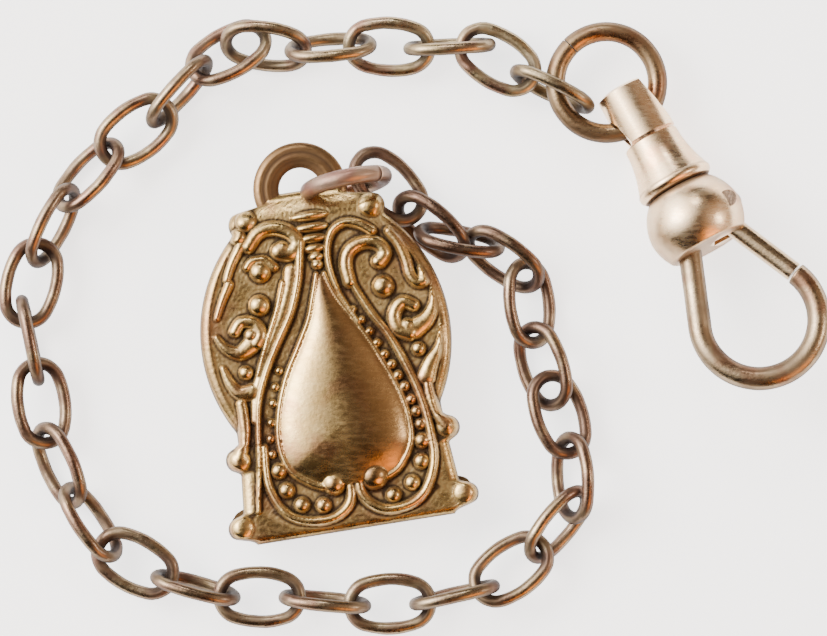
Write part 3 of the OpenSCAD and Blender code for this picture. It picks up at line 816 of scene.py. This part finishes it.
SCROLLS = [
    ([(2.0, 15.6), (1.95, 16.8), (2.35, 17.6), (3.2, 17.95), (4.1, 17.75), (4.5, 17.1), (4.1, 16.6)],
     0.36, 0.50, 0.46),
    ([(5.0, 18.4), (5.5, 17.5), (5.8, 16.4), (5.9, 15.5), (6.3, 14.9), (6.9, 15.1), (6.8, 15.7)],
     0.28, 0.42, 0.40),
    ([(5.7, 18.0), (6.4, 17.1), (6.9, 16.1)], 0.22, 0.36, 0.38),
    ([(5.8, 13.5), (5.1, 13.8), (4.5, 13.1), (4.6, 12.2), (5.3, 11.8)], 0.34, 0.50, 0.50),
    ([(5.6, 12.0), (6.5, 12.5), (7.1, 13.4), (7.3, 14.6)], 0.55, 0.42, 0.20),
    ([(5.9, 8.9), (6.4, 9.8), (7.1, 10.7), (7.4, 11.8)], 0.50, 0.40, 0.20),
    ([(5.9, 8.4), (5.95, 7.5), (6.3, 6.3), (6.7, 5.6)], 0.26, 0.40, 0.42),
    ([(-4.0, 18.8), (-3.2, 19.6), (-2.1, 19.7), (-1.2, 19.2), (-0.9, 18.5), (-1.4, 18.0), (-2.1, 18.2)],
     0.36, 0.50, 0.55),
    ([(-4.3, 17.5), (-3.9, 17.85), (-3.1, 17.8), (-2.6, 17.3)], 0.22, 0.34, 0.30),
    ([(-5.7, 13.6), (-5.2, 14.1), (-4.4, 13.9), (-4.1, 13.2), (-4.4, 12.7)], 0.32, 0.46, 0.46),
    ([(-4.8, 12.6), (-5.6, 12.2), (-6.4, 12.6), (-6.9, 13.4)], 0.50, 0.38, 0.20),
    ([(-5.6, 16.6), (-6.2, 15.6), (-6.7, 14.6)], 0.26, 0.32, 0.20),
    ([(-5.2, 9.6), (-6.0, 9.7), (-6.5, 10.4), (-6.8, 11.4)], 0.48, 0.36, 0.20),
    ([(-4.5, 18.9), (-5.2, 17.9), (-5.7, 16.9)], 0.28, 0.34, 0.24),
    ([(-6.0, 9.0), (-6.0, 7.7), (-6.3, 6.5), (-6.6, 5.6)], 0.28, 0.34, 0.42),
]
KNOBS = [((4.1, 15.0), 0.75, 0.55), ((5.7, 10.7), 0.50, 0.42), ((-3.5, 17.1), 0.72, 0.55),
         ((-3.9, 15.0), 0.72, 0.55), ((-5.4, 10.9), 0.50, 0.42), ((4.0, 16.6), 0.50, 0.56),
         ((6.75, 15.3), 0.45, 0.45), ((5.2, 12.2), 0.62, 0.52), ((-1.9, 18.3), 0.62, 0.55),
         ((-4.7, 13.2), 0.52, 0.50), ((-0.95, 3.1), 0.82, 0.66), ((1.6, 3.2), 0.98, 0.72),
         ((7.2, 1.2), 0.80, 0.30), ((-7.2, 1.2), 0.80, 0.30), ((4.1, 20.25), 0.80, 0.34),
         ((-3.9, 20.4), 0.72, 0.40), ((-4.55, 19.5), 0.58, 0.42), ((6.7, 5.6), 0.75, 0.34),
         ((-6.7, 5.4), 0.75, 0.34)]
print(len(SCROLLS), "scrolls and", len(KNOBS), "knobs to raise")

# %% [markdown]
# The teardrop is a dome of its own. The scrolls are drawn a little fuller than their lines
# say, as a stamped form always comes out softer and wider than it was cut.

# %% Raising the relief
GRID_ACROSS, GRID_UP = 208, 284
SCROLL_WIDER, SCROLL_HIGHER, TAIL_WIDER = 1.32, 1.25, 1.15
KNOB_HIGHER = 1.15
BANDS = ((PANEL_LEFT, 0.20, 0.46, 0.28), (PANEL_RIGHT, 0.18, 0.44, 0.28),
         (BAND_RIGHT, 0.40, 0.62, 0.14), (BAND_LEFT, 0.60, 0.46, 0.30),
         (OUTER_RIGHT, 0.26, 0.60, 0.42), (OUTER_LEFT, 0.34, 0.62, 0.16),
         (INNER_LEFT, 0.24, 0.50, 0.16), (LOW_LEFT, 0.28, 0.52, 0.42))
BEAD_ROWS = ((RIGHT_BEADS, 0.27, 0.014, 0.44), (BIG_BEADS, 0.56, 0.0, 0.56),
             (LEFT_BEADS, 0.30, 0.0, 0.28))


def panel_dome(x, y):
    """The smooth teardrop in the middle, and a mask of where it is."""
    left, right = np.array(PANEL_LEFT)[::-1], np.array(PANEL_RIGHT)[::-1]
    inside = ((x > np.interp(y, left[:, 1], left[:, 0]))
              & (x < np.interp(y, right[:, 1], right[:, 0])) & (y > 2.9) & (y < 16.4))
    to_left = nearest(x, y, curve(PANEL_LEFT))[0]
    to_right = nearest(x, y, curve(PANEL_RIGHT))[0]
    across = to_left / np.maximum(to_left + to_right, 1e-6)
    swell = np.power(np.clip(4 * across * (1 - across), 0, 1), 0.60)
    width = 1 - np.exp(-(to_left + to_right) / 3.4)
    foot = np.sqrt(np.clip(1 - (1 - np.clip((y - 2.2) / 3.4, 0, 1)) ** 2, 0, 1))
    return np.where(inside, 0.10 + 1.18 * swell * width * foot, 0.0), inside


def relief(x, y):
    """The height of the stamped front, and masks of its rim and its panel."""
    edge = np.minimum.reduce([half_width(y) - np.abs(x), (CLIP_TOP - y) * 1.2, y * 1.4 + 0.05])
    high = np.zeros(x.shape)
    for points, wide, up, last in SCROLLS:
        high = np.maximum(high, ridge(x, y, points, wide * SCROLL_WIDER, up * SCROLL_HIGHER,
                                      last * TAIL_WIDER))
    channel = nearest(x, y, curve(PANEL_RIGHT))[0]
    channel = np.minimum(channel, nearest(x, y, curve(PANEL_LEFT))[0])
    dome, inside = panel_dome(x, y)
    high = np.where(inside, dome, high - 0.14 * np.exp(-((channel - 0.5) / 0.4) ** 2))
    for points, wide, up, last in BANDS:
        high = np.maximum(high, ridge(x, y, points, wide, up, last))
    for spot, radius, up in KNOBS:
        high = np.maximum(high, bead(x, y, spot, radius, up * KNOB_HIGHER))
    for spots, radius, grows, up in BEAD_ROWS:
        for count, spot in enumerate(spots):
            high = np.maximum(high, bead(x, y, spot, radius + grows * count, up))
    for middle, wide in RIBS:
        rib = 1 - (x - 0.15) ** 2 / wide**2 - (y - middle) ** 2 / 0.34**2
        high = np.maximum(high, 0.50 * np.sqrt(np.clip(rib, 0, 1)))
    rim = (1 - ease(edge, 0.50, 0.90)) * ease(y, 8.2, 9.6) * (1 - ease(y, 18.4, 19.3))
    high = high * (1 - rim) + 0.06 * rim
    fall = 0.62 * (1 - np.sqrt(np.clip(1 - (1 - np.clip(edge / 0.72, 0, 1)) ** 2, 0, 1)))
    shoulder = 0.32 * ease(y, 20.2, 21.6)
    return GROUND + high - fall - shoulder, rim, inside


bm = bmesh.new()
bmesh.ops.create_grid(bm, x_segments=GRID_ACROSS, y_segments=GRID_UP, size=1)
bm.verts.ensure_lookup_table()
flat = np.array([vert.co for vert in bm.verts])
up = (flat[:, 1] + 1) / 2 * CLIP_TOP
out = flat[:, 0] * half_width(up)
heights, rim, inside = relief(out, up)
print("relief from", round(heights.min(), 2), "to", round(heights.max(), 2), "mm")

# %% [markdown]
# Polish never reaches the low places, so they stay brown. A spot is low where the relief
# around it, averaged over a millimetre, stands higher than the spot itself. The right half of
# the panel gets a copper-brown tint, a painted reflection of the warm light on that side.

# %% Low places
shape = (GRID_UP + 1, GRID_ACROSS + 1)
order = np.lexsort((flat[:, 0].round(6), flat[:, 1].round(6)))
field = heights[order].reshape(shape)


def blurred(values, passes):
    """Each value averaged with its neighbours, several times."""
    for _ in range(passes):
        padded = np.pad(values, 1, mode="edge")
        values = (padded[:-2, 1:-1] + padded[2:, 1:-1]
                  + padded[1:-1, :-2] + padded[1:-1, 2:] + values) / 5
    return values


low_places = np.clip((blurred(field, 26) - field - 0.005) / 0.11, 0, 0.95)
low_places = 0.70 * low_places + 0.30 * np.clip((blurred(field, 6) - field) / 0.04, 0, 1)
dirt_and_shade = np.empty(len(flat))
dirt_and_shade[order] = low_places.ravel()
dirt_and_shade = np.where(inside, dirt_and_shade * 0.12, np.clip(dirt_and_shade, 0, 0.95))
# The rim's brown is wear. The panel's copper-brown towards its right and top is a painted reflection.
painted_right_reflection = ease(out + 0.10 * (up - 8.0), -0.3, 1.0)
brown = np.clip(0.60 * rim + np.where(inside, 0.10 + 0.62 * painted_right_reflection, 0.0), 0, 1)
for index, vert in enumerate(bm.verts):
    spot = Vector((out[index], up[index], 0))
    grain = 0.0 if inside[index] else (0.012 + 0.045 * dirt_and_shade[index]) * noise.noise(spot * 6.5)
    vert.co = (out[index], up[index], heights[index] + grain)
    blotch = 0.0 if inside[index] else 0.9 * noise.noise(spot * 0.55 + Vector((3, 1, 0)))
    brown[index] = max(brown[index], blotch)
print("low places:", int((dirt_and_shade > 0.5).sum()), "of", len(dirt_and_shade), "points")

# %% [markdown]
# The sheet's edge is turned down all round and drawn in under itself. The side wall is
# shallower behind the loop, so that the jump ring has room to swing.

# %% Edge, wall and back
PLATE_BACK = 2.36
WALL_FOOT = 1.60


def next_ring(edges, change):
    """Extrudes an edge loop and moves its new points as change says."""
    made = bmesh.ops.extrude_edge_only(bm, edges=edges)["geom"]
    fresh = {item for item in made if isinstance(item, bmesh.types.BMVert)}
    for vert in fresh:
        vert.co = change(vert.co)
    return [item for item in made
            if isinstance(item, bmesh.types.BMEdge) and set(item.verts) <= fresh]


def wall_foot(co):
    """How far down the side wall reaches: less behind the loop."""
    return WALL_FOOT if co.y < 15.0 else min(2.35, WALL_FOOT + (co.y - 15.0) * 0.8)


def drawn_in(co, by, z):
    """A point moved towards the clip's middle line, at height z."""
    inward = (Vector((0, 10.6)) - co.to_2d()).normalized()
    return Vector((co.x + by * inward.x, co.y + by * inward.y, z))


line = [edge for edge in bm.edges if edge.is_boundary]
line = next_ring(line, lambda co: Vector((co.x, co.y, 2.6)))
line = next_ring(line, lambda co: Vector((co.x, co.y, wall_foot(co))))
line = next_ring(line, lambda co: drawn_in(co, 0.6, wall_foot(co)))
line = next_ring(line, lambda co: drawn_in(co, 0.0, PLATE_BACK))
bmesh.ops.holes_fill(bm, edges=line, sides=0)
extra = len(bm.verts) - len(dirt_and_shade)
dirt_and_shade = [*dirt_and_shade, *([0.25] * extra)]
brown = [*brown, *([0.65] * extra)]
print("clip shell closed with", len(bm.faces), "faces")

# %% [markdown]
# The loop is a thick rounded eye with a shallow groove round it. The hinge ears are two small
# lugs under the plate, which carry the lever's pin. Both belong to the same stamping.

# %% Loop and ears
LOOP_AT = (-0.15, 22.0, 2.76)
LOOP_BEND, LOOP_HALF = 2.175, 0.825
EAR_OUT = 3.35
start = len(bm.verts)
loop = bmesh.ops.create_circle(bm, cap_ends=False, segments=28, radius=LOOP_HALF,
                               matrix=tangent(LOOP_BEND, 0))["verts"]
for vert in loop:
    vert.co.z *= 0.5
    across = vert.co.x - LOOP_BEND
    if vert.co.z > 0:
        vert.co.z -= (0.10 * math.exp(-((across - 0.15) / 0.13) ** 2)
                      + 0.07 * math.exp(-((across + 0.42) / 0.10) ** 2))
loop_edges = list(dict.fromkeys(edge for vert in loop for edge in vert.link_edges))
bmesh.ops.spin(bm, geom=loop + loop_edges, cent=(0, 0, 0), axis=(0, 0, 1), dvec=(0, 0, 0),
               angle=2 * math.pi, steps=96, use_merge=True, use_duplicate=False)
bm.verts.ensure_lookup_table()
loop_verts = bm.verts[start:]
# The grooves hold dirt. The inner face of the eye is darkened as painted shade.
for vert in loop_verts:
    reach = vert.co.to_2d().length
    groove = math.exp(-((reach - 2.32) / 0.16) ** 2) + math.exp(-((reach - 1.75) / 0.12) ** 2)
    dirt_and_shade.append(min(0.9, 0.20 + 0.65 * groove + (0.35 if reach < 1.6 else 0.0)))
    brown.append(0.92)
bmesh.ops.translate(bm, vec=LOOP_AT, verts=loop_verts)

for side in (-1, 1):
    start = len(bm.verts)
    at = Matrix.Translation((side * EAR_OUT, 12.5, 1.98)) @ Matrix.Diagonal((0.7, 1.44, 0.9, 1))
    bmesh.ops.create_cube(bm, size=1, matrix=at)
    at = (Matrix.Translation((side * EAR_OUT, 12.5, 1.55))
          @ Matrix.Rotation(math.radians(90), 4, "Y"))
    bmesh.ops.create_cone(bm, cap_ends=True, segments=32, radius1=0.72, radius2=0.72,
                          depth=0.7, matrix=at)
    added = len(bm.verts) - start
    dirt_and_shade += [0.3] * added
    brown += [0.7] * added
store(bm, "stamped_clip", CLIP_PLACE, stamped_metal, "clip", ["clip_frame", "clip_front_plate"],
      dirt_and_shade, brown, side_shade=0.60)
print("clip finished")
